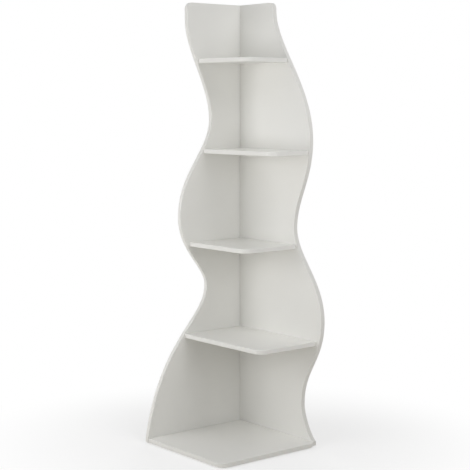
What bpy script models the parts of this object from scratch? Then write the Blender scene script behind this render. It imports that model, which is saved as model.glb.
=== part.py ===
"""Corner shelving unit: two wavy side panels butted at a right angle, with five shelves between them.

Connecting screws and dowels hold the boards together, and four nail-on glides carry the unit.
Metres, +Z up. Seen from the front, the left panel runs along -Y and the right panel along +X,
from the inner corner line where their inner faces meet.
"""

import math
from collections import namedtuple

import bmesh
import bpy

# Boards
PANEL_THICKNESS = 0.016
SHELF_THICKNESS = 0.016
EDGE_EASING = 0.0008
BASE_LEFT_REACH = 0.4335
BASE_RIGHT_REACH = 0.427
SHELF_CORNER_RADIUS = 0.035
JOINT_GAP = 0.0003

# How far the panels' feet stand out before the base board's front edges, or stay behind them
LEFT_FOOT_OVERHANG = 0.002
RIGHT_FOOT_SETBACK = 0.0145

# Clear heights between the shelves, and the panels' rise above the top shelf
CLEAR_ABOVE_BASE = 0.352
CLEAR_ABOVE_SECOND = 0.324
CLEAR_ABOVE_THIRD = 0.325
CLEAR_ABOVE_FOURTH = 0.314
RISE_ABOVE_TOP_SHELF = 0.201

# How far each shelf's front edges stay behind the panels' wavy edges, at the shelf's mid height
SECOND_LEFT_SETBACK = 0.010
SECOND_RIGHT_SETBACK = 0.016
THIRD_LEFT_SETBACK = 0.015
THIRD_RIGHT_SETBACK = 0.011
FOURTH_LEFT_SETBACK = 0.008
FOURTH_RIGHT_SETBACK = 0.005
TOP_LEFT_SETBACK = 0.010
TOP_RIGHT_SETBACK = 0.005

# Left panel's wavy edge: each turn's height above its bottom, its reach from the inner corner, and
# its fullness, which is its handles' share of the way to the turns above and below
LEFT_FOOT_LEAN = 0.065
LEFT_FOOT_STRETCH = 0.369
LEFT_LOWER_WAIST_HEIGHT = 0.560
LEFT_LOWER_WAIST_REACH = 0.161
LEFT_LOWER_WAIST_FULLNESS = 0.248
LEFT_CREST_HEIGHT = 0.814
LEFT_CREST_REACH = 0.2837
LEFT_CREST_FULLNESS = 0.471
LEFT_UPPER_WAIST_HEIGHT = 1.177
LEFT_UPPER_WAIST_REACH = 0.1375
LEFT_UPPER_WAIST_FULLNESS = 0.334
LEFT_HEAD_REACH = 0.248
LEFT_HEAD_STRAIGHT = 0.042
LEFT_HEAD_FULLNESS = 0.294

# Right panel's wavy edge
RIGHT_FOOT_LEAN = 0.0125
RIGHT_FOOT_STRETCH = 0.001
RIGHT_ANKLE_HEIGHT = 0.145
RIGHT_ANKLE_REACH = 0.351
RIGHT_ANKLE_FULLNESS = 0.415
RIGHT_LOWER_CREST_HEIGHT = 0.457
RIGHT_LOWER_CREST_REACH = 0.453
RIGHT_LOWER_CREST_FULLNESS = 0.455
RIGHT_WAIST_HEIGHT = 0.786
RIGHT_WAIST_REACH = 0.306
RIGHT_WAIST_FULLNESS = 0.324
RIGHT_UPPER_CREST_HEIGHT = 1.098
RIGHT_UPPER_CREST_REACH = 0.3875
RIGHT_UPPER_CREST_FULLNESS = 0.422
RIGHT_HEAD_REACH = 0.188
RIGHT_HEAD_STRAIGHT = 0.004
RIGHT_HEAD_FULLNESS = 0.268

# Rounded front corners at the panels' tops
TOP_CORNER_RADIUS = 0.024

# Connecting screws, countersunk, with a hexagon socket
SCREW_LENGTH = 0.050
SCREW_RADIUS = 0.0035
SCREW_HEAD_RADIUS = 0.005
SCREW_HEAD_HEIGHT = 0.004
SCREW_POINT_LENGTH = 0.005
SCREW_POINT_RADIUS = 0.0022
SCREW_SINK = 0.0003
SCREW_INSET = 0.045
SOCKET_ACROSS_FLATS = 0.004
SOCKET_DEPTH = 0.003
BORE_END_ROOM = 0.001

# Wooden dowels, and the board left beyond a dowel's end in a panel
DOWEL_RADIUS = 0.004
DOWEL_LENGTH = 0.030
DOWEL_END_WALL = 0.006
DOWEL_CHAMFER = 0.001
CORNER_DOWEL_RISE = 0.060

# Nail-on glides, and how far a nail's head stays above the floor and clear of its recess's wall
GLIDE_HEIGHT = 0.004
GLIDE_RADIUS = 0.007
GLIDE_INSET = 0.030
GLIDE_EASING = 0.0012
NAIL_RADIUS = 0.001
NAIL_LENGTH = 0.014
NAIL_POINT_LENGTH = 0.002
NAIL_HEAD_RADIUS = 0.003
NAIL_HEAD_HEIGHT = 0.0008
NAIL_HEAD_RISE = 0.0009
NAIL_HEAD_ROOM = 0.0005

# Fineness of the curved outlines and of the turned pieces
EDGE_STEPS = 24
CORNER_STEPS = 8
TURNED_STEPS = 10
GLIDE_STEPS = 16
HALVINGS = 24
WELD_DISTANCE = 1e-5
FLATTEST_TURN = math.radians(0.1)
SHARPEST_SMOOTH_TURN = math.radians(35)

# A quarter circle's handles, as a share of its radius
ARC_HANDLE = 4 / 3 * math.tan(math.pi / 8)

Knot = namedtuple("Knot", "x y before after", defaults=(None, None))
Turn = namedtuple("Turn", "height reach fullness")
Panel = namedtuple("Panel", "foot_reach foot_lean foot_stretch turns head_reach")
Shelf = namedtuple("Shelf", "name clear_above left_setback right_setback")
Place = namedtuple("Place", "x y z facing")

SHELVES = (
    Shelf("base_shelf", CLEAR_ABOVE_BASE, 0, 0),
    Shelf("second_shelf", CLEAR_ABOVE_SECOND, SECOND_LEFT_SETBACK, SECOND_RIGHT_SETBACK),
    Shelf("third_shelf", CLEAR_ABOVE_THIRD, THIRD_LEFT_SETBACK, THIRD_RIGHT_SETBACK),
    Shelf("fourth_shelf", CLEAR_ABOVE_FOURTH, FOURTH_LEFT_SETBACK, FOURTH_RIGHT_SETBACK),
    Shelf("top_shelf", RISE_ABOVE_TOP_SHELF, TOP_LEFT_SETBACK, TOP_RIGHT_SETBACK),
)
PANEL_HEIGHT = sum(shelf.clear_above + SHELF_THICKNESS for shelf in SHELVES)
LEFT_FOOT_REACH = BASE_LEFT_REACH + LEFT_FOOT_OVERHANG
RIGHT_FOOT_REACH = BASE_RIGHT_REACH - RIGHT_FOOT_SETBACK


def head_height(straight):
    """Where a wave's last turn passes into the upright stretch under the rounded top corner."""
    return PANEL_HEIGHT - TOP_CORNER_RADIUS - straight


LEFT = Panel(
    LEFT_FOOT_REACH,
    LEFT_FOOT_LEAN,
    LEFT_FOOT_STRETCH,
    (
        Turn(LEFT_LOWER_WAIST_HEIGHT, LEFT_LOWER_WAIST_REACH, LEFT_LOWER_WAIST_FULLNESS),
        Turn(LEFT_CREST_HEIGHT, LEFT_CREST_REACH, LEFT_CREST_FULLNESS),
        Turn(LEFT_UPPER_WAIST_HEIGHT, LEFT_UPPER_WAIST_REACH, LEFT_UPPER_WAIST_FULLNESS),
        Turn(head_height(LEFT_HEAD_STRAIGHT), LEFT_HEAD_REACH, LEFT_HEAD_FULLNESS),
    ),
    LEFT_HEAD_REACH,
)
RIGHT = Panel(
    RIGHT_FOOT_REACH,
    RIGHT_FOOT_LEAN,
    RIGHT_FOOT_STRETCH,
    (
        Turn(RIGHT_ANKLE_HEIGHT, RIGHT_ANKLE_REACH, RIGHT_ANKLE_FULLNESS),
        Turn(RIGHT_LOWER_CREST_HEIGHT, RIGHT_LOWER_CREST_REACH, RIGHT_LOWER_CREST_FULLNESS),
        Turn(RIGHT_WAIST_HEIGHT, RIGHT_WAIST_REACH, RIGHT_WAIST_FULLNESS),
        Turn(RIGHT_UPPER_CREST_HEIGHT, RIGHT_UPPER_CREST_REACH, RIGHT_UPPER_CREST_FULLNESS),
        Turn(head_height(RIGHT_HEAD_STRAIGHT), RIGHT_HEAD_REACH, RIGHT_HEAD_FULLNESS),
    ),
    RIGHT_HEAD_REACH,
)


def start_empty():
    """Clears the scene and returns the collections for the pieces and for the cutters."""
    for old in list(bpy.data.objects):
        bpy.data.objects.remove(old, do_unlink=True)
    collections = []
    for name in ("corner_shelving_unit", "cutters"):
        collection = bpy.data.collections.new(name)
        bpy.context.scene.collection.children.link(collection)
        collections.append(collection)
    return collections


def finish(name, colour, roughness, metallic=0.0):
    """A plain Principled material."""
    material = bpy.data.materials.new(name)
    material.use_nodes = True
    shader = material.node_tree.nodes["Principled BSDF"]
    shader.inputs["Base Color"].default_value = (*colour, 1.0)
    shader.inputs["Roughness"].default_value = roughness
    shader.inputs["Metallic"].default_value = metallic
    return material


def add_piece(name, mesh, place, material=None, collection=None):
    """An object at its place from the inner corner line, turned to the face it goes in by."""
    piece = bpy.data.objects.new(name, mesh)
    (collection or PIECES).objects.link(piece)
    piece.parent = CORNER
    piece.location = place.x, place.y, place.z
    piece.rotation_euler = place.facing
    if material:
        piece.data.materials.clear()
        piece.data.materials.append(material)
    return piece


# The ways a board lies or a fastener points, as turns about X, Y and Z
FLAT = (0, 0, 0)
ALONG_LEFT = (math.pi / 2, 0, -math.pi / 2)
ALONG_RIGHT = (math.pi / 2, 0, 0)
INTO_LEFT_PANEL = (0, -math.pi / 2, 0)
INTO_RIGHT_PANEL = (-math.pi / 2, 0, 0)


def flat_board(name, knots, thickness, steps):
    """A filled outline of straight and curved stretches, as a mesh with the thickness along local Z."""
    curve = bpy.data.curves.new(name, "CURVE")
    curve.dimensions = "2D"
    curve.fill_mode = "BOTH"
    curve.extrude = thickness / 2
    curve.resolution_u = steps
    spline = curve.splines.new("BEZIER")
    spline.use_cyclic_u = True
    spline.bezier_points.add(len(knots) - 1)
    for point, knot in zip(spline.bezier_points, knots):
        point.co = knot.x, knot.y, 0
    for point, knot in zip(spline.bezier_points, knots):
        point.handle_left_type = "FREE" if knot.before else "VECTOR"
        point.handle_right_type = "FREE" if knot.after else "VECTOR"
        if knot.before:
            point.handle_left = (*knot.before, 0)
        if knot.after:
            point.handle_right = (*knot.after, 0)
    flat = bpy.data.objects.new(name, curve)
    bpy.context.scene.collection.objects.link(flat)
    mesh = bpy.data.meshes.new_from_object(flat.evaluated_get(bpy.context.evaluated_depsgraph_get()))
    bpy.data.objects.remove(flat)
    shell = bmesh.new()
    shell.from_mesh(mesh)
    bmesh.ops.remove_doubles(shell, verts=shell.verts, dist=WELD_DISTANCE)
    bmesh.ops.dissolve_limit(shell, angle_limit=FLATTEST_TURN, verts=shell.verts, edges=shell.edges)
    bmesh.ops.recalc_face_normals(shell, faces=shell.faces)
    shell.to_mesh(mesh)
    shell.free()
    return mesh


def ease_and_bore(board, holes):
    """Eases the board's sharp edges, then cuts its holes, all gathered in one collection."""
    easing = board.modifiers.new("eased_edges", "BEVEL")
    easing.width = EDGE_EASING
    easing.segments = 1
    easing.limit_method = "ANGLE"
    cutters = bpy.data.collections.new(board.name + "_holes")
    CUTTERS.children.link(cutters)
    for hole in holes:
        cutters.objects.link(hole)
    boring = board.modifiers.new("holes", "BOOLEAN")
    boring.operation = "DIFFERENCE"
    boring.operand_type = "COLLECTION"
    boring.collection = cutters


def turned(name, profile, steps):
    """A turned solid: the profile is (radius, height) points from the top of the axis to its bottom."""
    mesh = bpy.data.meshes.new(name)
    points = [(radius, 0, height) for radius, height in profile]
    mesh.from_pydata(points, [(i, i + 1) for i in range(len(points) - 1)], [])
    lathe = bpy.data.objects.new(name, mesh)
    bpy.context.scene.collection.objects.link(lathe)
    screw = lathe.modifiers.new("turn", "SCREW")
    screw.steps = screw.render_steps = steps
    screw.use_merge_vertices = True
    screw.merge_threshold = WELD_DISTANCE
    return lathe


def made_mesh(lathe):
    """The evaluated mesh of a scratch object, which is then removed."""
    graph = bpy.context.evaluated_depsgraph_get()
    mesh = bpy.data.meshes.new_from_object(lathe.evaluated_get(graph))
    bpy.data.objects.remove(lathe)
    mesh.shade_smooth()
    mesh.set_sharp_from_angle(angle=SHARPEST_SMOOTH_TURN)
    return mesh


def foot_knots(panel, back):
    """The panel's square bottom: its back corner, and the foot that stands as high as the base board."""
    reach = panel.foot_reach
    lean_to = (reach - panel.foot_lean, SHELF_THICKNESS + panel.foot_stretch)
    return [
        Knot(back, 0),
        Knot(reach, 0),
        Knot(reach, SHELF_THICKNESS, after=lean_to),
    ]


def turn_knots(panel):
    """The wave's turns, where the edge is upright, with handles that share out the way between them."""
    heights = [SHELF_THICKNESS] + [turn.height for turn in panel.turns]
    knots = []
    for i, turn in enumerate(panel.turns):
        below = turn.fullness * (turn.height - heights[i])
        above = None
        if i + 1 < len(panel.turns):
            above = (turn.reach, turn.height + turn.fullness * (panel.turns[i + 1].height - turn.height))
        knots.append(Knot(turn.reach, turn.height, (turn.reach, turn.height - below), above))
    return knots


def head_knots(panel, back):
    """The rounded front corner at the panel's top, and its square back corner."""
    reach = panel.head_reach
    slack = TOP_CORNER_RADIUS * (1 - ARC_HANDLE)
    return [
        Knot(reach, PANEL_HEIGHT - TOP_CORNER_RADIUS, after=(reach, PANEL_HEIGHT - slack)),
        Knot(reach - TOP_CORNER_RADIUS, PANEL_HEIGHT, before=(reach - slack, PANEL_HEIGHT)),
        Knot(back, PANEL_HEIGHT),
    ]


def panel_outline(panel, back):
    return foot_knots(panel, back) + turn_knots(panel) + head_knots(panel, back)


def edge_reach(panel, height):
    """The reach of a panel's wavy edge at a height above its bottom, by halving along the right span."""
    knots = foot_knots(panel, 0)[2:] + turn_knots(panel)
    for low, high in zip(knots, knots[1:]):
        if low.y <= height <= high.y:
            span = ((low.x, low.y), low.after, high.before, (high.x, high.y))
            start, end = 0.0, 1.0
            for _ in range(HALVINGS):
                middle = (start + end) / 2
                if along(span, middle)[1] < height:
                    start = middle
                else:
                    end = middle
            return along(span, start)[0]
    return panel.head_reach if height > SHELF_THICKNESS else panel.foot_reach


def along(span, t):
    """A point on a cubic span of four points."""
    weights = ((1 - t) ** 3, 3 * t * (1 - t) ** 2, 3 * t * t * (1 - t), t**3)
    return [sum(w * point[axis] for w, point in zip(weights, span)) for axis in (0, 1)]


def shelf_outline(left_reach, right_reach):
    """Square to both panels, with the free front corner rounded."""
    radius = SHELF_CORNER_RADIUS
    slack = radius * (1 - ARC_HANDLE)
    return [
        Knot(JOINT_GAP, -JOINT_GAP),
        Knot(JOINT_GAP, -left_reach),
        Knot(right_reach - radius, -left_reach, after=(right_reach - slack, -left_reach)),
        Knot(right_reach, radius - left_reach, before=(right_reach, slack - left_reach)),
        Knot(right_reach, -JOINT_GAP),
    ]


def base_outline():
    """A shelf whose right edge turns in, on the corner's own radius, to end flush with the panel's foot."""
    knots = shelf_outline(BASE_LEFT_REACH, BASE_RIGHT_REACH)
    radius = SHELF_CORNER_RADIUS
    turn = math.acos(1 - RIGHT_FOOT_SETBACK / radius)
    handle = 4 / 3 * math.tan(turn / 4) * radius
    start = -JOINT_GAP - radius * math.sin(turn)
    before = (
        RIGHT_FOOT_REACH + handle * math.sin(turn),
        -JOINT_GAP - handle * math.cos(turn),
    )
    knots[-1:] = [
        Knot(BASE_RIGHT_REACH, start, after=(BASE_RIGHT_REACH, start + handle)),
        Knot(RIGHT_FOOT_REACH, -JOINT_GAP, before=before),
    ]
    return knots


def screw_mesh():
    """The screw hangs from the board's face along -Z, with its head flush and a hexagon socket."""
    lathe = turned(
        "connecting_screw",
        [
            (0, 0),
            (SCREW_HEAD_RADIUS, 0),
            (SCREW_RADIUS, -SCREW_HEAD_HEIGHT),
            (SCREW_RADIUS, SCREW_POINT_LENGTH - SCREW_LENGTH),
            (SCREW_POINT_RADIUS, -SCREW_LENGTH),
            (0, -SCREW_LENGTH),
        ],
        TURNED_STEPS,
    )
    bpy.ops.mesh.primitive_cylinder_add(
        vertices=6,
        radius=SOCKET_ACROSS_FLATS / 2 / math.cos(math.pi / 6),
        depth=2 * SOCKET_DEPTH,
        end_fill_type="NGON",
    )
    socket = bpy.context.active_object
    cut = lathe.modifiers.new("socket", "BOOLEAN")
    cut.operation = "DIFFERENCE"
    cut.object = socket
    mesh = made_mesh(lathe)
    bpy.data.objects.remove(socket)
    return mesh


def screw_hole_mesh():
    """The screw's countersink and bore, a joint gap larger all round, cut from above the face."""
    radius = SCREW_RADIUS + JOINT_GAP
    head = SCREW_HEAD_RADIUS + JOINT_GAP
    return made_mesh(
        turned(
            "screw_hole",
            [
                (0, SCREW_HEAD_HEIGHT),
                (head, SCREW_HEAD_HEIGHT),
                (head, 0),
                (radius, -SCREW_HEAD_HEIGHT),
                (radius, -SCREW_LENGTH - BORE_END_ROOM),
                (0, -SCREW_LENGTH - BORE_END_ROOM),
            ],
            TURNED_STEPS,
        )
    )


def pin_mesh(name, radius, length, chamfer):
    """A round pin about its own middle, with chamfered ends where it has a chamfer."""
    half = length / 2
    profile = [(0, half), (radius - chamfer, half), (radius, half - chamfer)]
    if not chamfer:
        profile = [(0, half), (radius, half)]
    below = [(r, -h) for r, h in reversed(profile)]
    return made_mesh(turned(name, profile + below, TURNED_STEPS))


def glide_mesh():
    """A round foot under a board's bottom edge, at local z 0, with a recess for its nail's head."""
    hole = NAIL_RADIUS + JOINT_GAP
    top = GLIDE_HEIGHT - JOINT_GAP
    recess_radius = NAIL_HEAD_RADIUS + NAIL_HEAD_ROOM
    recess_depth = NAIL_HEAD_RISE + NAIL_HEAD_HEIGHT + JOINT_GAP
    return made_mesh(
        turned(
            "glide",
            [
                (hole, top),
                (GLIDE_RADIUS, top),
                (GLIDE_RADIUS, GLIDE_EASING),
                (GLIDE_RADIUS - GLIDE_EASING, 0),
                (recess_radius, 0),
                (recess_radius, recess_depth),
                (hole, recess_depth),
                (hole, top),
            ],
            GLIDE_STEPS,
        )
    )


def nail_mesh():
    """The nail stands on its head, at local z 0."""
    return made_mesh(
        turned(
            "glide_nail",
            [
                (0, NAIL_LENGTH),
                (NAIL_RADIUS, NAIL_LENGTH - NAIL_POINT_LENGTH),
                (NAIL_RADIUS, NAIL_HEAD_HEIGHT),
                (NAIL_HEAD_RADIUS, NAIL_HEAD_HEIGHT),
                (NAIL_HEAD_RADIUS, 0),
                (0, 0),
            ],
            TURNED_STEPS,
        )
    )


def cutter(name, mesh, place):
    """A cutter, kept out of the render."""
    hole = add_piece(name, mesh, place, collection=CUTTERS)
    hole.hide_render = True
    hole.display_type = "WIRE"
    return hole


def fit_screw(name, place, boards):
    """A screw sunk just under the outer face, and its hole in each board that it goes through."""
    add_piece(name, SCREW, place, STEEL)
    hole = cutter(name + "_hole", SCREW_HOLE, place)
    for board in boards:
        HOLES[board].append(hole)


def fit_dowel(name, place, boards):
    """A dowel about its own middle, and its blind holes."""
    add_piece(name, DOWEL, place, BEECH)
    hole = cutter(name + "_hole", DOWEL_HOLE, place)
    for board in boards:
        HOLES[board].append(hole)


def join_shelf(shelf, bottom, left_reach, right_reach):
    """Two screws and a dowel between them, through each panel into the shelf's edge."""
    middle = bottom + SHELF_THICKNESS / 2
    face = PANEL_THICKNESS - SCREW_SINK
    for side, reach in (("left", left_reach), ("right", right_reach)):
        panel = side + "_panel"
        on_left = side == "left"
        facing = INTO_LEFT_PANEL if on_left else INTO_RIGHT_PANEL
        for end, out in (("back", SCREW_INSET), ("front", reach - SCREW_INSET)):
            x, y = (-face, -out) if on_left else (out, face)
            fit_screw(
                f"{side}_screw_{shelf}_{end}",
                Place(x, y, middle, facing),
                (panel, shelf),
            )
        x, y = (DOWEL_DEPTH, -reach / 2) if on_left else (reach / 2, -DOWEL_DEPTH)
        fit_dowel(f"{side}_dowel_{shelf}", Place(x, y, middle, facing), (panel, shelf))


def join_panels(number, middle):
    """A screw and a dowel through the right panel's face into the left panel's back edge."""
    x = -PANEL_THICKNESS / 2
    both = ("right_panel", "left_panel")
    fit_screw(
        f"corner_screw_{number}",
        Place(x, PANEL_THICKNESS - SCREW_SINK, middle, INTO_RIGHT_PANEL),
        both,
    )
    fit_dowel(
        f"corner_dowel_{number}",
        Place(x, -DOWEL_DEPTH, middle + CORNER_DOWEL_RISE, INTO_RIGHT_PANEL),
        both,
    )


def add_glide(corner, x, y, board):
    """A glide under a board's bottom edge, and the nail that holds it."""
    add_piece("glide_" + corner, GLIDE, Place(x, y, 0, FLAT), PLASTIC)
    add_piece("glide_nail_" + corner, NAIL, Place(x, y, NAIL_HEAD_RISE, FLAT), STEEL)
    place = Place(x, y, NAIL_HEAD_RISE + NAIL_LENGTH / 2, FLAT)
    HOLES[board].append(cutter(f"glide_nail_{corner}_hole", NAIL_HOLE, place))


PIECES, CUTTERS = start_empty()
WHITE_BOARD = finish("white_board", (0.78, 0.775, 0.755), 0.45)
STEEL = finish("zinc_plated_steel", (0.62, 0.62, 0.60), 0.35, 1.0)
BEECH = finish("beech", (0.60, 0.42, 0.26), 0.65)
PLASTIC = finish("white_plastic", (0.80, 0.80, 0.78), 0.5)

# The inner corner line, placed so that the origin is under the middle of the unit's box
CORNER = bpy.data.objects.new("inner_corner", None)
PIECES.objects.link(CORNER)
WIDEST_RIGHT = max([RIGHT_FOOT_REACH, BASE_RIGHT_REACH] + [turn.reach for turn in RIGHT.turns])
WIDEST_LEFT = max([LEFT_FOOT_REACH, BASE_LEFT_REACH] + [turn.reach for turn in LEFT.turns])
CORNER.location.x = (PANEL_THICKNESS - WIDEST_RIGHT) / 2
CORNER.location.y = (WIDEST_LEFT - PANEL_THICKNESS) / 2

SCREW = screw_mesh()
SCREW_HOLE = screw_hole_mesh()

# How far a dowel's middle lies beyond the panel's inner face
DOWEL_DEPTH = DOWEL_LENGTH / 2 + DOWEL_END_WALL - PANEL_THICKNESS
DOWEL = pin_mesh("dowel", DOWEL_RADIUS, DOWEL_LENGTH, DOWEL_CHAMFER)
DOWEL_HOLE = pin_mesh("dowel_hole", DOWEL_RADIUS + JOINT_GAP, DOWEL_LENGTH + 2 * JOINT_GAP, 0)
GLIDE = glide_mesh()
NAIL = nail_mesh()
NAIL_HOLE = pin_mesh("nail_hole", NAIL_RADIUS + JOINT_GAP, NAIL_LENGTH + 2 * JOINT_GAP, 0)
HOLES = {name: [] for name in ["left_panel", "right_panel"] + [shelf.name for shelf in SHELVES]}

BOARDS = [
    add_piece(
        "left_panel",
        flat_board("left_panel", panel_outline(LEFT, JOINT_GAP), PANEL_THICKNESS, EDGE_STEPS),
        Place(-PANEL_THICKNESS / 2, 0, GLIDE_HEIGHT, ALONG_LEFT),
        WHITE_BOARD,
    ),
    add_piece(
        "right_panel",
        flat_board("right_panel", panel_outline(RIGHT, -PANEL_THICKNESS), PANEL_THICKNESS, EDGE_STEPS),
        Place(0, PANEL_THICKNESS / 2, GLIDE_HEIGHT, ALONG_RIGHT),
        WHITE_BOARD,
    ),
]

shelf_bottom = 0.0
for number, shelf in enumerate(SHELVES, start=1):
    mid_height = shelf_bottom + SHELF_THICKNESS / 2
    reaches = BASE_LEFT_REACH, RIGHT_FOOT_REACH
    outline = base_outline()
    if number > 1:
        reaches = (
            edge_reach(LEFT, mid_height) - shelf.left_setback,
            edge_reach(RIGHT, mid_height) - shelf.right_setback,
        )
        outline = shelf_outline(*reaches)
    BOARDS.append(
        add_piece(
            shelf.name,
            flat_board(shelf.name, outline, SHELF_THICKNESS, CORNER_STEPS),
            Place(0, 0, GLIDE_HEIGHT + mid_height, FLAT),
            WHITE_BOARD,
        )
    )
    join_shelf(shelf.name, GLIDE_HEIGHT + shelf_bottom, *reaches)
    shelf_bottom += SHELF_THICKNESS + shelf.clear_above
    join_panels(number, GLIDE_HEIGHT + shelf_bottom - shelf.clear_above / 2)

half_panel = PANEL_THICKNESS / 2
add_glide("corner", -half_panel, half_panel, "right_panel")
add_glide("left", -half_panel, GLIDE_INSET - LEFT_FOOT_REACH, "left_panel")
add_glide("right", RIGHT_FOOT_REACH - GLIDE_INSET, half_panel, "right_panel")
add_glide("front", BASE_RIGHT_REACH - GLIDE_INSET, GLIDE_INSET - BASE_LEFT_REACH, "base_shelf")

for board in BOARDS:
    ease_and_bore(board, HOLES[board.name])
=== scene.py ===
"""Looks of the white corner shelving unit: its painted boards, screws, dowels and glides.

Metres, +Z up, in the frame's own place. Seen from the front, the left panel runs along -Y and the
right panel along +X, from the inner corner line where their inner faces meet.
"""

import math
from collections import namedtuple

import bmesh
import bpy
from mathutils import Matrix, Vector


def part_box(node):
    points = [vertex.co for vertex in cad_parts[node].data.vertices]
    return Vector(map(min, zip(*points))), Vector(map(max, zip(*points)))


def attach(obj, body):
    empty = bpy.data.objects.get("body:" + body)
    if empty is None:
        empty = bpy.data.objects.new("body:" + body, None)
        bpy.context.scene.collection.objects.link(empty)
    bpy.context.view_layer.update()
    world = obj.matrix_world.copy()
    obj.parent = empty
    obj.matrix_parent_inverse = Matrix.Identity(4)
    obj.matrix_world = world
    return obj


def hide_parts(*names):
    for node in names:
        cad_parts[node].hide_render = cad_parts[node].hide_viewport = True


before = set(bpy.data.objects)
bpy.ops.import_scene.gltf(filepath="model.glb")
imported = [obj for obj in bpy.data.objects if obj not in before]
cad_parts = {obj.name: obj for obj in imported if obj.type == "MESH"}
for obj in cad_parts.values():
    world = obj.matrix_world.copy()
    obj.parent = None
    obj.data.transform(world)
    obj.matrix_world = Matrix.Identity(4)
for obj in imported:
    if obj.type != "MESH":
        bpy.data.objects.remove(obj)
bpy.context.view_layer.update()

Turn = namedtuple("Turn", "height reach fullness")
Knot = namedtuple("Knot", "x y before after", defaults=(None, None))
Pattern = namedtuple("Pattern", "scale detail roughness", defaults=(2.0, 0.5))
Lamp = namedtuple("Lamp", "name place width power")

# Camera: its place, how far down and to the left it looks in degrees, and its lens and sensor in
# millimetres
CAMERA_PLACE = (3.42769, -2.81924, 1.23993)
CAMERA_DOWN = 6.0443
CAMERA_LEFT = 50.5094
CAMERA_LENS = 95.862
SENSOR_WIDTH = 36.0

# Panels' wavy edges. A turn has its height above the panel's bottom, its reach from the inner
# corner line, and its fullness, which is its handles' share of the way to the turns above and
# below. A foot's handle says how far the wave leans and rises at first, and a head's straight is
# the upright stretch below the rounded corner
TOP_CORNER_RADIUS = 0.024
LEFT_FOOT_REACH = 0.4355
LEFT_FOOT_HANDLE = (-0.065, 0.369)
LEFT_LOWER_WAIST = Turn(0.560, 0.161, 0.248)
LEFT_CREST = Turn(0.814, 0.2837, 0.471)
LEFT_UPPER_WAIST = Turn(1.177, 0.1375, 0.334)
LEFT_HEAD_REACH = 0.248
LEFT_HEAD_STRAIGHT = 0.042
LEFT_HEAD_FULLNESS = 0.294
RIGHT_FOOT_REACH = 0.4125
RIGHT_FOOT_HANDLE = (-0.0125, 0.001)
RIGHT_ANKLE = Turn(0.145, 0.351, 0.415)
RIGHT_LOWER_CREST = Turn(0.457, 0.453, 0.455)
RIGHT_WAIST = Turn(0.786, 0.306, 0.324)
RIGHT_UPPER_CREST = Turn(1.098, 0.3875, 0.422)
RIGHT_HEAD_REACH = 0.188
RIGHT_HEAD_STRAIGHT = 0.004
RIGHT_HEAD_FULLNESS = 0.268

# Boards: their arrises are rounded, but hardly where they lie against another board
SHELF_CORNER_RADIUS = 0.035
ARRIS_RADIUS = 0.002
ARRIS_STEPS = 4
BUTTED_ARRIS_SHARE = 0.2
BUTTED_WITHIN = 0.0005
WAVE_STEPS = 56
CORNER_STEPS = 28

# In degrees: the sharpest bend of a board's outline, past which an edge is an arris, and the
# sharpest edge that is shaded smooth, on a board and on a fastener
SHARPEST_BEND = 30
SHARPEST_SMOOTH_ARRIS = 35
SHARPEST_SMOOTH_FASTENER = 30

# A board's flat face looks along its thin axis by more than this share, and its edge strip by less
FLAT_FACE_SHARE = 0.9

# Screws, dowels, glides and nails, and the room around them. Steps are counted for each turn of a
# thread, each flute of a dowel, each round piece or hole, and each quarter turn of an eased rim. A
# dowel is made in stretches, and its ends lie past a share of its length from its middle
ROOM = 0.0003
HEAD_HEIGHT = 0.004
HEAD_EASING = 0.0002
SHANK_RADIUS = 0.0035
CORE_RADIUS = 0.0024
PLAIN_SHANK = 0.014
THREAD_PITCH = 0.003
THREAD_THICKNESS = 0.0012
THREAD_STEPS = 20
POINT_LENGTH = 0.005
POINT_RADIUS = 0.0012
SOCKET_SIDES = 6
SOCKET_ACROSS_FLATS = 0.004
SOCKET_DEPTH = 0.003
FLUTES = 16
FLUTE_DEPTH = 0.00025
FLUTE_STEPS = 6
DOWEL_CHAMFER = 0.001
DOWEL_STRETCHES = 3
DOWEL_END_FROM = 0.4
NAIL_HEAD_HEIGHT = 0.0008
NAIL_RADIUS = 0.001
NAIL_POINT_LENGTH = 0.002
GLIDE_EASING = 0.0012
GLIDE_TOP_EASING = 0.0003
GLIDE_RECESS_RADIUS = 0.0035
GLIDE_RECESS_DEPTH = 0.002
BORE_END_ROOM = 0.001
ROUND_STEPS = 48
HOLE_STEPS = 32
ARC_STEPS = 5

# How near to each other points lie that are merged, on a board's seams and a turned piece's axis
SEAM_WELD = 1e-6
AXIS_WELD = 1e-5

# Finishes: the tones between which each of them varies, and its patterns in waves per metre
WHITE = (1, 1, 1, 1)
PAINT_TONES = ((0.825, 0.821, 0.790, 1), (0.850, 0.847, 0.822, 1))
# Painted light: a lighter tone on the boards' edge strips stands in for the light they catch, as
# their paint is the same as on the faces
EDGE_STRIP_PAINTED_LIGHT = (0.875, 0.868, 0.845, 1)
PAINT_CLOUDS = Pattern(7.0, 3.0)
PAINT_SMUDGES = Pattern(22.0, 4.0, 0.6)
ORANGE_PEEL = Pattern(850.0)
FIBRE_BOARD_TONES = ((0.23, 0.15, 0.09, 1), (0.42, 0.30, 0.19, 1))
FIBRE_BOARD_ROUGHNESS = 0.9
BOARD_FIBRES = Pattern(420.0, 5.0, 0.7)
ZINC_TONES = ((0.58, 0.585, 0.56, 1), (0.68, 0.69, 0.70, 1))
ZINC_MOTTLE = Pattern(600.0, 3.0)
TURNING_MARKS = Pattern(3500.0)
BEECH_TONES = ((0.50, 0.33, 0.19, 1), (0.68, 0.49, 0.31, 1))
BEECH_STREAKS = Pattern(900.0, 4.0, 0.6)
BEECH_PORES = Pattern(3200.0)
ALONG_THE_GRAIN = (1.0, 1.0, 0.08)
PLASTIC_TONES = ((0.72, 0.72, 0.70, 1), (0.82, 0.82, 0.80, 1))
PLASTIC_SCUFFS = Pattern(260.0, 4.0, 0.65)
PLASTIC_GRAIN = Pattern(2400.0, 1.0)

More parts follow.
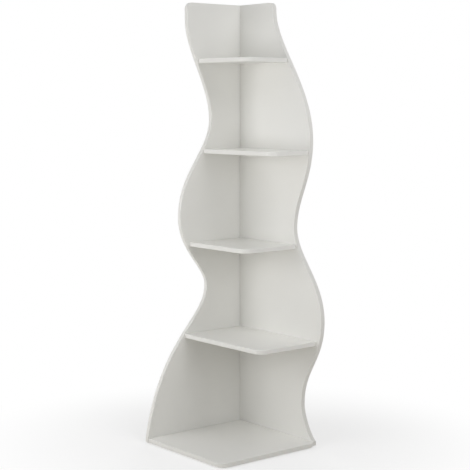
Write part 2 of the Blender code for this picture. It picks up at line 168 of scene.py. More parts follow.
# Floor, surround and lamps. The shadow fades out between two distances, and the lamps are square
# and look at one place
FLOOR_WIDTH = 30.0
FLOOR_TONE = (0.82, 0.79, 0.73, 1)
FLOOR_ROUGHNESS = 0.8
SHADOW_SHARE = 0.42
SHADOW_FADE = (0.25, 1.1)
SURROUND_LIGHT = 0.15
LAMP_AIM = (-0.05, 0.05, 0.9)
LAMPS = (
    Lamp("left_lamp", (-0.9, -1.9, 1.0), 1.4, 15.8),
    Lamp("high_left_lamp", (-0.5, -1.7, 2.3), 1.0, 5.0),
    Lamp("front_lamp", (0.0, -1.7, 1.0), 1.0, 4.2),
    Lamp("right_lamp", (1.6, -0.2, 1.1), 1.0, 7.8),
    Lamp("high_right_lamp", (1.2, 0.1, 2.6), 1.4, 13.6),
    Lamp("back_lamp", (-2.0, 2.0, 1.8), 2.0, 24.0),
)

# In radians, and how a board's flat outline is turned to stand or lie in its place
QUARTER_TURN = math.pi / 2
ALONG_LEFT = (QUARTER_TURN, 0, -QUARTER_TURN)
ALONG_RIGHT = (QUARTER_TURN, 0, 0)
LEVEL = (0, 0, 0)

# Axes by number
X, Y, Z = 0, 1, 2

# Sockets that share their names, by number: a Mix node's colours, and a Mix Shader's shaders
FIRST_COLOUR, SECOND_COLOUR, MIXED_COLOUR = 6, 7, 2
FIRST_SHADER, SECOND_SHADER = 1, 2

# The boards' CAD nodes, and what the frame says of them
SHELF_NODES = ("base_shelf", "second_shelf", "third_shelf", "fourth_shelf", "top_shelf")
BOARD_BOXES = {node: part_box(node) for node in ("left_panel", "right_panel", *SHELF_NODES)}
LEFT_INNER_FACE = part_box("left_panel")[1].x
RIGHT_INNER_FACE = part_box("right_panel")[0].y
PANEL_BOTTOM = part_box("left_panel")[0].z
PANEL_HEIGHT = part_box("left_panel")[1].z - PANEL_BOTTOM
HEAD_START = PANEL_HEIGHT - TOP_CORNER_RADIUS
BOARD_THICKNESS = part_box("base_shelf")[1].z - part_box("base_shelf")[0].z
HALF_BOARD = BOARD_THICKNESS / 2


class Value:
    """A socket that takes part in sums: each operator adds its Math node."""

    def __init__(self, nodes, socket):
        self.nodes = nodes
        self.socket = socket

    def math(self, operation, *terms):
        sockets = dict(enumerate(terms))
        return self.nodes.add("ShaderNodeMath", {"operation": operation}, sockets)["Value"]

    def __add__(self, other):
        return self.math("ADD", self, other)

    def __radd__(self, other):
        return self.math("ADD", other, self)

    def __sub__(self, other):
        return self.math("SUBTRACT", self, other)

    def __rsub__(self, other):
        return self.math("SUBTRACT", other, self)

    def __mul__(self, other):
        return self.math("MULTIPLY", self, other)

    def __rmul__(self, other):
        return self.math("MULTIPLY", other, self)

    def __truediv__(self, other):
        return self.math("DIVIDE", self, other)

    def __rtruediv__(self, other):
        return self.math("DIVIDE", other, self)

    def __pow__(self, other):
        return self.math("POWER", self, other)

    def __rpow__(self, other):
        return self.math("POWER", other, self)

    def __abs__(self):
        return self.math("ABSOLUTE", self)

    def __lt__(self, other):
        return self.math("LESS_THAN", self, other)

    def __gt__(self, other):
        return self.math("GREATER_THAN", self, other)


class Node:
    """A node whose outputs are read by name or number."""

    def __init__(self, nodes, node):
        self.nodes = nodes
        self.node = node

    def __getitem__(self, name):
        return Value(self.nodes, self.node.outputs[name])


class Nodes:
    """A node tree in the making."""

    def __init__(self, tree):
        self.tree = tree

    def add(self, kind, settings=None, sockets=None):
        """A node of a kind, its settings, and then the values or links of its sockets."""
        node = self.tree.nodes.new(kind)
        for name, setting in (settings or {}).items():
            setattr(node, name, setting)
        for name, value in (sockets or {}).items():
            for one in value if isinstance(value, list) else [value]:
                self.feed(node.inputs[name], one)
        return Node(self, node)

    def feed(self, socket, value):
        if isinstance(value, Value):
            self.tree.links.new(value.socket, socket)
        else:
            socket.default_value = value


class GeometryTree(Nodes):
    """A geometry tree with named inputs, from a first Geometry to the last Set Material."""

    def __init__(self, name, inputs):
        super().__init__(bpy.data.node_groups.new(name, "GeometryNodeTree"))
        face = self.tree.interface
        face.new_socket("Geometry", in_out="INPUT", socket_type="NodeSocketGeometry")
        for label, kind in inputs.items():
            face.new_socket(label, in_out="INPUT", socket_type="NodeSocket" + kind)
        face.new_socket("Geometry", in_out="OUTPUT", socket_type="NodeSocketGeometry")
        self.given = self.add("NodeGroupInput")

    def end(self, geometry):
        """Instances made real, the material set, and the tree's output."""
        real = self.add("GeometryNodeRealizeInstances", {}, {"Geometry": geometry})["Geometry"]
        dressed = self.add(
            "GeometryNodeSetMaterial", {}, {"Geometry": real, "Material": self.given["Material"]}
        )
        self.add("NodeGroupOutput", {}, {"Geometry": dressed["Geometry"]})
        return self.tree


def new_object(name, data):
    """An object in the scene, at the origin."""
    thing = bpy.data.objects.new(name, data)
    bpy.context.scene.collection.objects.link(thing)
    return thing


def made_mesh(scratch):
    """The evaluated mesh of a scratch object, which is then removed."""
    graph = bpy.context.evaluated_depsgraph_get()
    mesh = bpy.data.meshes.new_from_object(
        scratch.evaluated_get(graph), preserve_all_data_layers=True, depsgraph=graph
    )
    bpy.data.objects.remove(scratch)
    return mesh


def run_tree(scratch, tree, values):
    """A scratch object's modifier that runs a geometry tree, with its inputs by name."""
    modifier = scratch.modifiers.new(tree.name, "NODES")
    modifier.node_group = tree
    for item in tree.interface.items_tree:
        label = item.name.replace(" ", "_").lower()
        if item.in_out == "INPUT" and label in values:
            modifier[item.identifier] = values[label]


def grow(name, start, tree, **values):
    """The plain mesh that a geometry tree makes from a mesh or curve."""
    scratch = new_object(name, start)
    run_tree(scratch, tree, values)
    return made_mesh(scratch)


def show(name, mesh, replaced):
    """A finished piece, attached to the root body, which stands for its CAD nodes and hides them.
    """
    mesh.name = name
    piece = new_object(name, mesh)
    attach(piece, "root")
    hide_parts(*replaced)


def noise(nodes, place, pattern):
    """Smooth noise from 0 to 1 over a place."""
    sockets = {
        "Vector": place,
        "Scale": pattern.scale,
        "Detail": pattern.detail,
        "Roughness": pattern.roughness,
    }
    return nodes.add("ShaderNodeTexNoise", {}, sockets)["Fac"]


def mix_colours(nodes, share, first, second):
    sockets = {"Factor": share, FIRST_COLOUR: first, SECOND_COLOUR: second}
    return nodes.add("ShaderNodeMix", {"data_type": "RGBA"}, sockets)[MIXED_COLOUR]


def start_material(name):
    """A material with its tree, its Principled shader and the object's own coordinates."""
    material = bpy.data.materials.new(name)
    material.use_nodes = True
    nodes = Nodes(material.node_tree)
    shader = material.node_tree.nodes["Principled BSDF"]
    place = nodes.add("ShaderNodeTexCoord")["Object"]
    return material, nodes, shader, place


def dress(nodes, shader, colour, roughness, height, strength, depth):
    """A shader's colour and roughness, and its relief of a strength and of a depth in metres."""
    nodes.feed(shader.inputs["Base Color"], colour)
    nodes.feed(shader.inputs["Roughness"], roughness)
    relief = nodes.add(
        "ShaderNodeBump", {}, {"Strength": strength, "Distance": depth, "Height": height}
    )
    nodes.feed(shader.inputs["Normal"], relief["Normal"])


def satin_white_board():
    """Satin white paint with a fine orange peel, faint clouds and painted light on its edge
    strips, and bare board in the bores.
    """
    material, nodes, shader, place = start_material("satin_white_board")
    edge = nodes.add("ShaderNodeAttribute", {"attribute_name": "edge"})["Fac"]
    bare = nodes.add("ShaderNodeAttribute", {"attribute_name": "bare"})["Fac"]
    clouds = noise(nodes, place, PAINT_CLOUDS)
    peel = noise(nodes, place, ORANGE_PEEL)
    smudges = noise(nodes, place, PAINT_SMUDGES)
    fibres = noise(nodes, place, BOARD_FIBRES)
    paint = mix_colours(nodes, clouds, *PAINT_TONES)
    # Painted light: the edge strips are painted partly lighter, in streaks along the fibres, for
    # the light they catch
    paint = mix_colours(nodes, 0.5 * edge * fibres, paint, EDGE_STRIP_PAINTED_LIGHT)
    board = mix_colours(nodes, fibres, *FIBRE_BOARD_TONES)
    roughness = 0.30 + 0.10 * smudges + 0.06 * peel + 0.04 * edge
    dress(
        nodes,
        shader,
        colour=mix_colours(nodes, bare, paint, board),
        roughness=roughness + bare * (FIBRE_BOARD_ROUGHNESS - roughness),
        height=0.55 * peel + edge * 0.6 * fibres + bare * 2.0 * fibres,
        strength=0.35,
        depth=0.00006,
    )
    return material


def zinc_plated_steel():
    """Bright zinc plating, slightly mottled, with fine turning marks."""
    material, nodes, shader, place = start_material("zinc_plated_steel")
    mottle = noise(nodes, place, ZINC_MOTTLE)
    shader.inputs["Metallic"].default_value = 1.0
    dress(
        nodes,
        shader,
        colour=mix_colours(nodes, mottle, *ZINC_TONES),
        roughness=0.24 + 0.16 * mottle,
        height=noise(nodes, place, TURNING_MARKS),
        strength=0.2,
        depth=0.00002,
    )
    return material


def beech():
    """Bare beech: pores and streaks drawn out along the dowel's own length."""
    material, nodes, shader, _ = start_material("beech")
    own = nodes.add("ShaderNodeAttribute", {"attribute_name": "own_place"})["Vector"]
    drawn_out = nodes.add(
        "ShaderNodeMapping", {}, {"Vector": own, "Scale": ALONG_THE_GRAIN}
    )["Vector"]
    streaks = noise(nodes, drawn_out, BEECH_STREAKS)
    pores = noise(nodes, drawn_out, BEECH_PORES)
    dress(
        nodes,
        shader,
        colour=mix_colours(nodes, streaks, *BEECH_TONES),
        roughness=0.58 + 0.15 * pores,
        height=pores,
        strength=0.3,
        depth=0.00005,
    )
    return material


def white_plastic():
    """Moulded polyethylene, faintly grained and scuffed."""
    material, nodes, shader, place = start_material("white_plastic")
    scuffs = noise(nodes, place, PLASTIC_SCUFFS)
    dress(
        nodes,
        shader,
        colour=mix_colours(nodes, scuffs, *PLASTIC_TONES),
        roughness=0.42 + 0.2 * scuffs,
        height=noise(nodes, place, PLASTIC_GRAIN),
        strength=0.25,
        depth=0.00003,
    )
    return material


def object_shape(nodes, label):
    """The shape of the object that is given under a name."""
    return nodes.add("GeometryNodeObjectInfo", {}, {"Object": nodes.given[label]})["Geometry"]


def own_position(nodes):
    return nodes.add("GeometryNodeInputPosition")["Position"]


def with_attribute(nodes, geometry, name, value, kind, domain):
    """Geometry that carries a named attribute."""
    return nodes.add(
        "GeometryNodeStoreNamedAttribute",
        {"data_type": kind, "domain": domain},
        {"Geometry": geometry, "Name": name, "Value": value},
    )["Geometry"]


def raised(nodes, geometry, height):
    """Geometry moved up by a height."""
    offset = nodes.add("ShaderNodeCombineXYZ", {}, {"Z": height})["Vector"]
    return nodes.add(
        "GeometryNodeTransform", {}, {"Geometry": geometry, "Translation": offset}
    )["Geometry"]


def cut_away(nodes, solid, cutter):
    """A solid less what a cutter takes in."""
    return nodes.add(
        "GeometryNodeMeshBoolean",
        {"operation": "DIFFERENCE", "solver": "EXACT"},
        {"Mesh 1": solid, "Mesh 2": cutter},
    )["Mesh"]


def placed_copies_tree():
    """Copies of one shape on a mesh's points, each with its own Z along the point's way."""
    nodes = GeometryTree("placed_copies", {"Shape": "Object", "Material": "Material"})
    shape = object_shape(nodes, "Shape")
    own = with_attribute(nodes, shape, "own_place", own_position(nodes), "FLOAT_VECTOR", "POINT")
    way = nodes.add(
        "GeometryNodeInputNamedAttribute", {"data_type": "FLOAT_VECTOR"}, {"Name": "way"}
    )["Attribute"]
    turned = nodes.add(
        "FunctionNodeAlignRotationToVector", {"axis": "Z"}, {"Vector": way}
    )["Rotation"]
    copies = nodes.add(
        "GeometryNodeInstanceOnPoints",
        {},
        {"Points": nodes.given["Geometry"], "Instance": own, "Rotation": turned},
    )["Instances"]
    return nodes.end(copies)


def board_tree():
    """A flat outline given its thickness, turned up and put in its place."""
    nodes = GeometryTree(
        "board",
        {"Thickness": "Float", "Turn": "Rotation", "Place": "Vector", "Material": "Material"},
    )
    thickness = nodes.given["Thickness"]
    outline = nodes.given["Geometry"]
    flat = nodes.add("GeometryNodeFillCurve", {"mode": "NGONS"}, {"Curve": outline})["Mesh"]
    over = nodes.add(
        "GeometryNodeExtrudeMesh",
        {"mode": "FACES"},
        {"Mesh": flat, "Offset Scale": thickness, "Individual": False},
    )
    under = nodes.add("GeometryNodeFlipFaces", {}, {"Mesh": flat})
    both = nodes.add("GeometryNodeJoinGeometry", {}, {"Geometry": [over["Mesh"], under["Mesh"]]})
    closed = nodes.add(
        "GeometryNodeMergeByDistance", {}, {"Geometry": both["Geometry"], "Distance": SEAM_WELD}
    )
    placed = nodes.add(
        "GeometryNodeTransform",
        {},
        {
            "Geometry": raised(nodes, closed["Geometry"], -0.5 * thickness),
            "Translation": nodes.given["Place"],
            "Rotation": nodes.given["Turn"],
        },
    )
    return nodes.end(placed["Geometry"])


def bored_tree():
    """A board with its holes cut, and the bores' walls marked as bare board."""
    nodes = GeometryTree("bored_board", {"Holes": "Object", "Material": "Material"})
    painted = with_attribute(nodes, nodes.given["Geometry"], "bare", 0.0, "FLOAT", "FACE")
    bare = with_attribute(nodes, object_shape(nodes, "Holes"), "bare", 1.0, "FLOAT", "FACE")
    return nodes.end(cut_away(nodes, painted, bare))


def threaded_tree():
    """A turned screw blank given its thread and the socket in its head."""
    nodes = GeometryTree(
        "threaded_screw",
        {
            "Thread Top": "Float",
            "Thread Bottom": "Float",
            "Pitch": "Float",
            "Thickness": "Float",
            "Core Radius": "Float",
            "Crest Radius": "Float",
            "Socket Radius": "Float",
            "Socket Depth": "Float",
            "Material": "Material",
        },
    )
    given = nodes.given
    length = given["Thread Bottom"] - given["Thread Top"]
    turns = length / given["Pitch"]
    spiral = nodes.add(
        "GeometryNodeCurveSpiral",
        {},
        {
            "Resolution": THREAD_STEPS,
            "Rotations": turns,
            "Start Radius": given["Core Radius"],
            "End Radius": given["Core Radius"],
            "Height": length,
        },
    )["Curve"]
    upright = nodes.add("GeometryNodeSetCurveNormal", {"mode": "Z_UP"}, {"Curve": spiral})["Curve"]
    along = nodes.add("GeometryNodeSplineParameter")["Factor"]
    nearest_end = along.math("MINIMUM", along, 1 - along)
    fading = nearest_end.math("MINIMUM", nearest_end * turns, 1.0)
    faded = nodes.add(
        "GeometryNodeSetCurveRadius", {}, {"Curve": upright, "Radius": fading}
    )["Curve"]
    ridge = nodes.add(
        "GeometryNodeCurvePrimitiveQuadrilateral",
        {"mode": "KITE"},
        {
            "Width": 2 * (given["Crest Radius"] - given["Core Radius"]),
            "Bottom Height": 0.5 * given["Thickness"],
            "Top Height": 0.5 * given["Thickness"],
        },
    )["Curve"]
    thread = nodes.add(
        "GeometryNodeCurveToMesh",
        {},
        {
            "Curve": raised(nodes, faded, -1 * given["Thread Bottom"]),
            "Profile Curve": ridge,
            "Scale": nodes.add("GeometryNodeInputRadius")["Radius"],
            "Fill Caps": True,
        },
    )["Mesh"]
    threaded = nodes.add(
        "GeometryNodeMeshBoolean",
        {"operation": "UNION", "solver": "EXACT"},
        {"Mesh 2": [given["Geometry"], thread]},
    )["Mesh"]
    socket = nodes.add(
        "GeometryNodeMeshCylinder",
        {"fill_type": "NGON"},
        {
            "Vertices": SOCKET_SIDES,
            "Radius": given["Socket Radius"],
            "Depth": 2 * given["Socket Depth"],
        },
    )["Mesh"]
    return nodes.end(cut_away(nodes, threaded, socket))


def dowel_tree():
    """A round dowel about its own middle, fluted along its length and chamfered at its ends."""
    nodes = GeometryTree(
        "fluted_dowel",
        {
            "Length": "Float",
            "Radius": "Float",
            "Chamfer": "Float",
            "Flutes": "Int",
            "Flute Depth": "Float",
            "Material": "Material",
        },
    )
    given = nodes.given
    length = given["Length"]
    radius = given["Radius"]
    rod = nodes.add(
        "GeometryNodeMeshCylinder",
        {"fill_type": "NGON"},
        {
            "Vertices": FLUTES * FLUTE_STEPS,
            "Side Segments": DOWEL_STRETCHES,
            "Radius": radius,
            "Depth": length,
        },
    )["Mesh"]
    here = nodes.add("ShaderNodeSeparateXYZ", {}, {"Vector": own_position(nodes)})
    angle = here["Y"].math("ARCTAN2", here["Y"], here["X"])
    wave = angle.math("COSINE", angle * given["Flutes"])
    at_end = abs(here["Z"]) > DOWEL_END_FROM * length
    narrowing = given["Chamfer"] * at_end + given["Flute Depth"] * (0.5 - 0.5 * wave)
    share = (radius - narrowing) / radius
    side = here["Z"].math("SIGN", here["Z"])
    shoulder = side * (0.5 * length - given["Chamfer"])
    height = at_end * here["Z"] + (1 - at_end) * shoulder
    moved = nodes.add(
        "ShaderNodeCombineXYZ", {}, {"X": here["X"] * share, "Y": here["Y"] * share, "Z": height}
    )["Vector"]
    fluted = nodes.add("GeometryNodeSetPosition", {}, {"Geometry": rod, "Position": moved})
    return nodes.end(fluted["Geometry"])


def turned_mesh(name, profile, steps=ROUND_STEPS):
    """A turned solid, from a profile of (radius, height) points that runs from top to bottom."""
    mesh = bpy.data.meshes.new(name)
    points = [(radius, 0, height) for radius, height in profile]
    mesh.from_pydata(points, [(i, i + 1) for i in range(len(points) - 1)], [])
    lathe = new_object(name, mesh)
    screw = lathe.modifiers.new("turn", "SCREW")
    screw.steps = screw.render_steps = steps
    screw.use_merge_vertices = True
    screw.merge_threshold = AXIS_WELD
    return made_mesh(lathe)


def rounded_shading(mesh, sharpest=SHARPEST_SMOOTH_FASTENER):
    mesh.shade_smooth()
    mesh.set_sharp_from_angle(angle=math.radians(sharpest))
    return mesh


def outline_curve(name, knots, steps):
    """A closed flat outline of straight and curved stretches."""
    curve = bpy.data.curves.new(name, "CURVE")
    curve.dimensions = "2D"
    curve.fill_mode = "NONE"
    curve.resolution_u = steps
    spline = curve.splines.new("BEZIER")
    spline.use_cyclic_u = True
    spline.bezier_points.add(len(knots) - 1)
    for point, knot in zip(spline.bezier_points, knots):
        point.co = knot.x, knot.y, 0
    for point, knot in zip(spline.bezier_points, knots):
        point.handle_left_type = "FREE" if knot.before else "VECTOR"
        point.handle_right_type = "FREE" if knot.after else "VECTOR"
        if knot.before:
            point.handle_left = (*knot.before, 0)
        if knot.after:
            point.handle_right = (*knot.after, 0)
    return curve


def arc_handle(angle):
    """The handles of a curve that follows an arc, as a share of its radius."""
    return 4 / 3 * math.tan(angle / 4)


def panel_outline(foot_reach, foot_handle, turns, head_reach, back):
    """Square foot as high as the base board, the wave's turns, and a rounded corner at the top."""
    lean, rise = foot_handle
    knots = [
        Knot(back, 0),
        Knot(foot_reach, 0),
        Knot(foot_reach, BOARD_THICKNESS, after=(foot_reach + lean, BOARD_THICKNESS + rise)),
    ]
    heights = [BOARD_THICKNESS] + [turn.height for turn in turns]
    for i, (height, reach, fullness) in enumerate(turns):
        below = (reach, height - fullness * (height - heights[i]))
        above = None
        if i + 1 < len(turns):
            above = (reach, height + fullness * (turns[i + 1].height - height))
        knots.append(Knot(reach, height, below, above))
    top = PANEL_HEIGHT
    slack = TOP_CORNER_RADIUS * (1 - arc_handle(QUARTER_TURN))
    knots += [
        Knot(head_reach, HEAD_START, after=(head_reach, top - slack)),
        Knot(head_reach - TOP_CORNER_RADIUS, top, before=(head_reach - slack, top)),
        Knot(back, top),
    ]
    return knots


def shelf_outline(low, high):
    """Square to both panels, with the free front corner rounded."""
    radius = SHELF_CORNER_RADIUS
    slack = radius * (1 - arc_handle(QUARTER_TURN))
    return [
        Knot(low.x, high.y),
        Knot(low.x, low.y),
        Knot(high.x - radius, low.y, after=(high.x - slack, low.y)),
        Knot(high.x, low.y + radius, before=(high.x, low.y + slack)),
        Knot(high.x, high.y),
    ]


def base_outline(low, high):
    """A shelf whose right edge turns in, on its corner's own radius, to meet the panel's foot."""
    knots = shelf_outline(low, high)
    radius = SHELF_CORNER_RADIUS
    foot = LEFT_INNER_FACE + RIGHT_FOOT_REACH
    turn = math.acos(1 - (high.x - foot) / radius)
    handle = arc_handle(turn) * radius
    start = high.y - radius * math.sin(turn)
    before = (foot + handle * math.sin(turn), high.y - handle * math.cos(turn))
    knots[-1:] = [
        Knot(high.x, start, after=(high.x, start + handle)),
        Knot(foot, high.y, before=before),
    ]
    return knots


def butted(point, own):
    """Whether a point of one board lies against another board."""
    for board, (low, high) in BOARD_BOXES.items():
        near = [low[i] - BUTTED_WITHIN < point[i] < high[i] + BUTTED_WITHIN for i in range(3)]
        if board != own and all(near):
            return True
    return False


def weigh_arrises(mesh, node):
    """Full rounding for a board's arrises, and little for those that lie against another board."""
    shell = bmesh.new()
    shell.from_mesh(mesh)
    weight = shell.edges.layers.float.new("bevel_weight_edge")
    for edge in shell.edges:
        if edge.calc_face_angle() > math.radians(SHARPEST_BEND):
            against = all(butted(vertex.co, node) for vertex in edge.verts)
            edge[weight] = BUTTED_ARRIS_SHARE if against else 1.0
    shell.to_mesh(mesh)
    shell.free()


def mark_edge_strips(mesh, across):
    """An attribute of 1 on the strips round a board, and of 0 on its two flat faces."""
    edge = mesh.attributes.new("edge", "FLOAT", "FACE")
    for polygon in mesh.polygons:
        edge.data[polygon.index].value = float(abs(polygon.normal[across]) < FLAT_FACE_SHARE)


def finished_board(node, knots, steps, turn, place, across):
    """A board with rounded arrises, its holes and marked edge strips. across is its thin axis."""
    name = node + "_board"
    mesh = grow(
        name,
        outline_curve(name, knots, steps),
        BOARD,
        thickness=BOARD_THICKNESS,
        turn=turn,
        place=place,
        material=PAINT,
    )
    weigh_arrises(mesh, node)
    board = new_object(name, mesh)
    easing = board.modifiers.new("arrises", "BEVEL")
    easing.width = ARRIS_RADIUS
    easing.segments = ARRIS_STEPS
    easing.limit_method = "WEIGHT"
    run_tree(board, BORED, {"holes": HOLES, "material": PAINT})
    mesh = made_mesh(board)
    mark_edge_strips(mesh, across)
    board = new_object(name, rounded_shading(mesh, SHARPEST_SMOOTH_ARRIS))
    board.modifiers.new("flat_faces_stay_flat", "WEIGHTED_NORMAL").keep_sharp = True
    show(name, made_mesh(board), [node])


def nodes_named(word):
    return sorted(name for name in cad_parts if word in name)


def extents(node):
    """A node's three extents, the smallest first."""
    low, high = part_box(node)
    return sorted(high - low)


def outward(node):
    """The way a fastener's head looks: out of the left panel, or out of the right panel's face."""
    return Vector((-1, 0, 0)) if node.startswith("left") else Vector((0, 1, 0))


def middle_place(node):
    low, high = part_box(node)
    return (low + high) / 2, outward(node)


def head_place(node):
    """The middle of a screw's head, on its outer side."""
    middle, way = middle_place(node)
    return middle + way * extents(node)[2] / 2, way


def bottom_place(node):
    low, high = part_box(node)
    return Vector(((low.x + high.x) / 2, (low.y + high.y) / 2, low.z)), Vector((0, 0, 1))


def points_mesh(name, places):
    """A mesh of loose points, each with the way its copy's own Z looks."""
    mesh = bpy.data.meshes.new(name)
    mesh.from_pydata([place for place, way in places], [], [])
    ways = mesh.attributes.new("way", "FLOAT_VECTOR", "POINT")
    for i, (place, way) in enumerate(places):
        ways.data[i].vector = way
    return mesh


def copies_on(name, shape, places, material):
    """One mesh of a shape's copies, each at its place."""
    lender = new_object(name + "_shape", shape)
    mesh = grow(name, points_mesh(name, places), COPIES, shape=lender, material=material)
    bpy.data.objects.remove(lender)
    return mesh


def joined(name, meshes):
    whole = bmesh.new()
    for mesh in meshes:
        whole.from_mesh(mesh)
    mesh = bpy.data.meshes.new(name)
    whole.to_mesh(mesh)
    whole.free()
    return mesh


def screw_shape():
    """A screw that hangs from the middle of its head."""
    blank = turned_mesh(
        "screw_blank",
        [
            (0, 0),
            (HEAD_RADIUS - HEAD_EASING, 0),
            (HEAD_RADIUS, -HEAD_EASING),
            (SHANK_RADIUS, -HEAD_HEIGHT),
            (SHANK_RADIUS, -PLAIN_SHANK),
            (CORE_RADIUS, -PLAIN_SHANK - (SHANK_RADIUS - CORE_RADIUS)),
            (CORE_RADIUS, POINT_LENGTH - SCREW_LENGTH),
            (POINT_RADIUS, -SCREW_LENGTH),
            (0, -SCREW_LENGTH),
        ],
    )
    mesh = grow(
        "connecting_screw",
        blank,
        THREADED,
        thread_top=PLAIN_SHANK,
        thread_bottom=SCREW_LENGTH - POINT_LENGTH / 2,
        pitch=THREAD_PITCH,
        thickness=THREAD_THICKNESS,
        core_radius=CORE_RADIUS,
        crest_radius=SHANK_RADIUS,
        socket_radius=SOCKET_ACROSS_FLATS / 2 / math.cos(math.pi / SOCKET_SIDES),
        socket_depth=SOCKET_DEPTH,
        material=ZINC,
    )
    return rounded_shading(mesh)


def dowel_shape():
    mesh = grow(
        "dowel",
        bpy.data.meshes.new("dowel"),
        FLUTED,
        length=DOWEL_LENGTH,
        radius=DOWEL_RADIUS,
        chamfer=DOWEL_CHAMFER,
        flutes=FLUTES,
        flute_depth=FLUTE_DEPTH,
        material=BEECH,
    )
    return rounded_shading(mesh)


def rim_steps():
    """The cosine and sine of each step round an eased rim."""
    angles = [QUARTER_TURN * i / ARC_STEPS for i in range(ARC_STEPS + 1)]
    return [(math.cos(angle), math.sin(angle)) for angle in angles]


def glide_shape():
    """A round foot with eased rims and a recess round its nail's head."""
    hole = NAIL_RADIUS + ROOM
    radius = GLIDE_WIDTH / 2
    profile = [
        (hole, GLIDE_HEIGHT),
        (radius - GLIDE_TOP_EASING, GLIDE_HEIGHT),
        (radius, GLIDE_HEIGHT - GLIDE_TOP_EASING),
    ]
    for cosine, sine in rim_steps():
        profile.append((radius - GLIDE_EASING * (1 - cosine), GLIDE_EASING * (1 - sine)))
    profile += [
        (GLIDE_RECESS_RADIUS, 0),
        (GLIDE_RECESS_RADIUS, GLIDE_RECESS_DEPTH),
        (hole, GLIDE_RECESS_DEPTH),
        (hole, GLIDE_HEIGHT),
    ]
    return rounded_shading(turned_mesh("glide", profile))


def nail_shape():
    """A nail that stands on its slightly domed head."""
    dome = NAIL_HEAD_HEIGHT / 2
    profile = [
        (0, NAIL_LENGTH),
        (NAIL_RADIUS, NAIL_LENGTH - NAIL_POINT_LENGTH),
        (NAIL_RADIUS, NAIL_HEAD_HEIGHT),
        (NAIL_HEAD_WIDTH / 2, NAIL_HEAD_HEIGHT),
    ]
    for cosine, sine in rim_steps():
        profile.append((NAIL_HEAD_WIDTH / 2 * cosine, dome * (1 - sine)))
    return rounded_shading(turned_mesh("glide_nail", profile))


def hole_shape(name, radius, top, bottom, head_radius=None):
    """A round cutter between two heights, with a countersink where a head is given."""
    profile = [(0, top), (radius, top), (radius, bottom), (0, bottom)]
    if head_radius:
        profile[1:2] = [(head_radius, top), (head_radius, 0), (radius, -HEAD_HEIGHT)]
    return turned_mesh(name, profile, HOLE_STEPS)


def seen_directly(nodes):
    """1 for what the camera, metal or glass sees, and 0 for light that bounces about."""
    light = nodes.add("ShaderNodeLightPath")
    seen = light["Is Camera Ray"]
    for kind in ("Is Glossy Ray", "Is Transmission Ray"):
        seen = seen.math("MAXIMUM", seen, light[kind])
    return seen


def floor_paint():
    """A pale matt floor, seen as plain white away from the unit's own soft shadow."""
    material, nodes, shader, place = start_material("pale_floor")
    seen = seen_directly(nodes)
    nodes.feed(shader.inputs["Base Color"], mix_colours(nodes, seen, FLOOR_TONE, WHITE))
    shader.inputs["Roughness"].default_value = FLOOR_ROUGHNESS
    shader.inputs["Specular IOR Level"].default_value = 0.0
    here = nodes.add("ShaderNodeSeparateXYZ", {}, {"Vector": place})
    distance = (here["X"] * here["X"] + here["Y"] * here["Y"]) ** 0.5
    fading = nodes.add(
        "ShaderNodeMapRange",
        {"interpolation_type": "SMOOTHSTEP"},
        {
            "Value": distance,
            "From Min": SHADOW_FADE[0],
            "From Max": SHADOW_FADE[1],
            "To Min": 1 - SHADOW_SHARE,
            "To Max": 1.0,
        },
    )["Result"]
    white = nodes.add("ShaderNodeEmission", {}, {"Strength": 1.0})["Emission"]
    lit = Value(nodes, shader.outputs["BSDF"])
    surface = nodes.add(
        "ShaderNodeMixShader", {}, {"Fac": seen * fading, FIRST_SHADER: lit, SECOND_SHADER: white}
    )["Shader"]
    nodes.feed(nodes.tree.nodes["Material Output"].inputs["Surface"], surface)
    return material


def lay_floor():
    mesh = bpy.data.meshes.new("floor")
    half = FLOOR_WIDTH / 2
    corners = [(-half, -half, 0), (half, -half, 0), (half, half, 0), (-half, half, 0)]
    mesh.from_pydata(corners, [], [(0, 1, 2, 3)])
    mesh.materials.append(floor_paint())
    new_object("floor", mesh)


def white_surround():
    """Even light from all round, which the camera, metal and glass see as plain white."""
    world = bpy.data.worlds.new("white_surround")
    world.use_nodes = True
    bpy.context.scene.world = world
    nodes = Nodes(world.node_tree)
    sky = world.node_tree.nodes["Background"]
    sky.inputs["Color"].default_value = WHITE
    strength = SURROUND_LIGHT + seen_directly(nodes) * (1 - SURROUND_LIGHT)
    nodes.feed(sky.inputs["Strength"], strength)


def soft_lamp(lamp):
    light = bpy.data.lights.new(lamp.name, "AREA")
    light.shape = "SQUARE"
    light.size = lamp.width
    light.energy = lamp.power
    holder = new_object(lamp.name, light)
    holder.location = lamp.place
    aim = Vector(LAMP_AIM) - holder.location
    holder.rotation_euler = aim.to_track_quat("-Z", "Y").to_euler()
    holder.visible_camera = False


PAINT = satin_white_board()
ZINC = zinc_plated_steel()
BEECH = beech()
PLASTIC = white_plastic()
COPIES = placed_copies_tree()
BOARD = board_tree()
BORED = bored_tree()
THREADED = threaded_tree()
FLUTED = dowel_tree()

SCREWS = nodes_named("_screw_")
DOWELS = nodes_named("_dowel_")
NAILS = nodes_named("glide_nail_")
GLIDES = [name for name in nodes_named("glide_") if name not in NAILS]

# The fasteners' own sizes, from the frame
SCREW_LENGTH = extents(SCREWS[0])[2]
HEAD_RADIUS = extents(SCREWS[0])[1] / 2
DOWEL_LENGTH = extents(DOWELS[0])[2]
DOWEL_RADIUS = extents(DOWELS[0])[1] / 2
GLIDE_HEIGHT, GLIDE_WIDTH = extents(GLIDES[0])[:2]
NAIL_HEAD_WIDTH, NAIL_LENGTH = extents(NAILS[0])[1:]

SCREW_PLACES = [head_place(node) for node in SCREWS]
DOWEL_PLACES = [middle_place(node) for node in DOWELS]
GLIDE_PLACES = [bottom_place(node) for node in GLIDES]
NAIL_PLACES = [bottom_place(node) for node in NAILS]

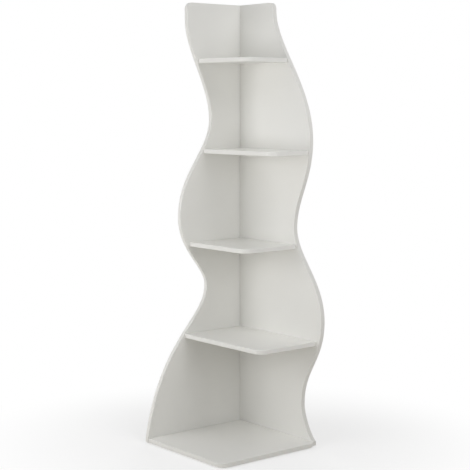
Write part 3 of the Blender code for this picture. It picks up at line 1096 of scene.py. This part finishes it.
for name, shape, places, material, slot, replaced in (
    ("connecting_screws", screw_shape(), SCREW_PLACES, ZINC, "zinc_plated_steel", SCREWS),
    ("fluted_dowels", dowel_shape(), DOWEL_PLACES, BEECH, "beech", DOWELS),
    ("nail_on_glides", glide_shape(), GLIDE_PLACES, PLASTIC, "white_plastic", GLIDES),
    ("glide_pins", nail_shape(), NAIL_PLACES, ZINC, "zinc_plated_steel", NAILS),
):
    show(name, copies_on(name, shape, places, material), replaced)

screw_hole = hole_shape(
    "screw_hole",
    SHANK_RADIUS + ROOM,
    HEAD_HEIGHT,
    -SCREW_LENGTH - BORE_END_ROOM,
    HEAD_RADIUS + ROOM,
)
dowel_hole = hole_shape(
    "dowel_hole", DOWEL_RADIUS + ROOM, DOWEL_LENGTH / 2 + ROOM, -DOWEL_LENGTH / 2 - ROOM
)
nail_hole = hole_shape("nail_hole", NAIL_RADIUS + ROOM, NAIL_LENGTH + ROOM, -ROOM)
HOLES = new_object(
    "holes",
    joined(
        "holes",
        [
            copies_on("screw_holes", screw_hole, SCREW_PLACES, PAINT),
            copies_on("dowel_holes", dowel_hole, DOWEL_PLACES, PAINT),
            copies_on("nail_holes", nail_hole, NAIL_PLACES, PAINT),
        ],
    ),
)

left_turns = (
    LEFT_LOWER_WAIST,
    LEFT_CREST,
    LEFT_UPPER_WAIST,
    Turn(HEAD_START - LEFT_HEAD_STRAIGHT, LEFT_HEAD_REACH, LEFT_HEAD_FULLNESS),
)
finished_board(
    "left_panel",
    panel_outline(LEFT_FOOT_REACH, LEFT_FOOT_HANDLE, left_turns, LEFT_HEAD_REACH, ROOM),
    WAVE_STEPS,
    ALONG_LEFT,
    (LEFT_INNER_FACE - HALF_BOARD, RIGHT_INNER_FACE, PANEL_BOTTOM),
    X,
)
right_turns = (
    RIGHT_ANKLE,
    RIGHT_LOWER_CREST,
    RIGHT_WAIST,
    RIGHT_UPPER_CREST,
    Turn(HEAD_START - RIGHT_HEAD_STRAIGHT, RIGHT_HEAD_REACH, RIGHT_HEAD_FULLNESS),
)
finished_board(
    "right_panel",
    panel_outline(
        RIGHT_FOOT_REACH, RIGHT_FOOT_HANDLE, right_turns, RIGHT_HEAD_REACH, -BOARD_THICKNESS
    ),
    WAVE_STEPS,
    ALONG_RIGHT,
    (LEFT_INNER_FACE, RIGHT_INNER_FACE + HALF_BOARD, PANEL_BOTTOM),
    Y,
)
for shelf in SHELF_NODES:
    low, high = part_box(shelf)
    outline = base_outline(low, high) if shelf == "base_shelf" else shelf_outline(low, high)
    finished_board(shelf, outline, CORNER_STEPS, LEVEL, (0, 0, (low.z + high.z) / 2), Z)
bpy.data.objects.remove(HOLES)

lay_floor()
white_surround()
for lamp in LAMPS:
    soft_lamp(lamp)

camera_data = bpy.data.cameras.new("camera")
camera_data.sensor_width = SENSOR_WIDTH
camera_data.lens = CAMERA_LENS
camera = new_object("camera", camera_data)
camera.location = CAMERA_PLACE
camera.rotation_euler = (math.radians(90 - CAMERA_DOWN), 0, math.radians(CAMERA_LEFT))
bpy.context.scene.camera = camera
bpy.context.scene.view_settings.view_transform = "Standard"
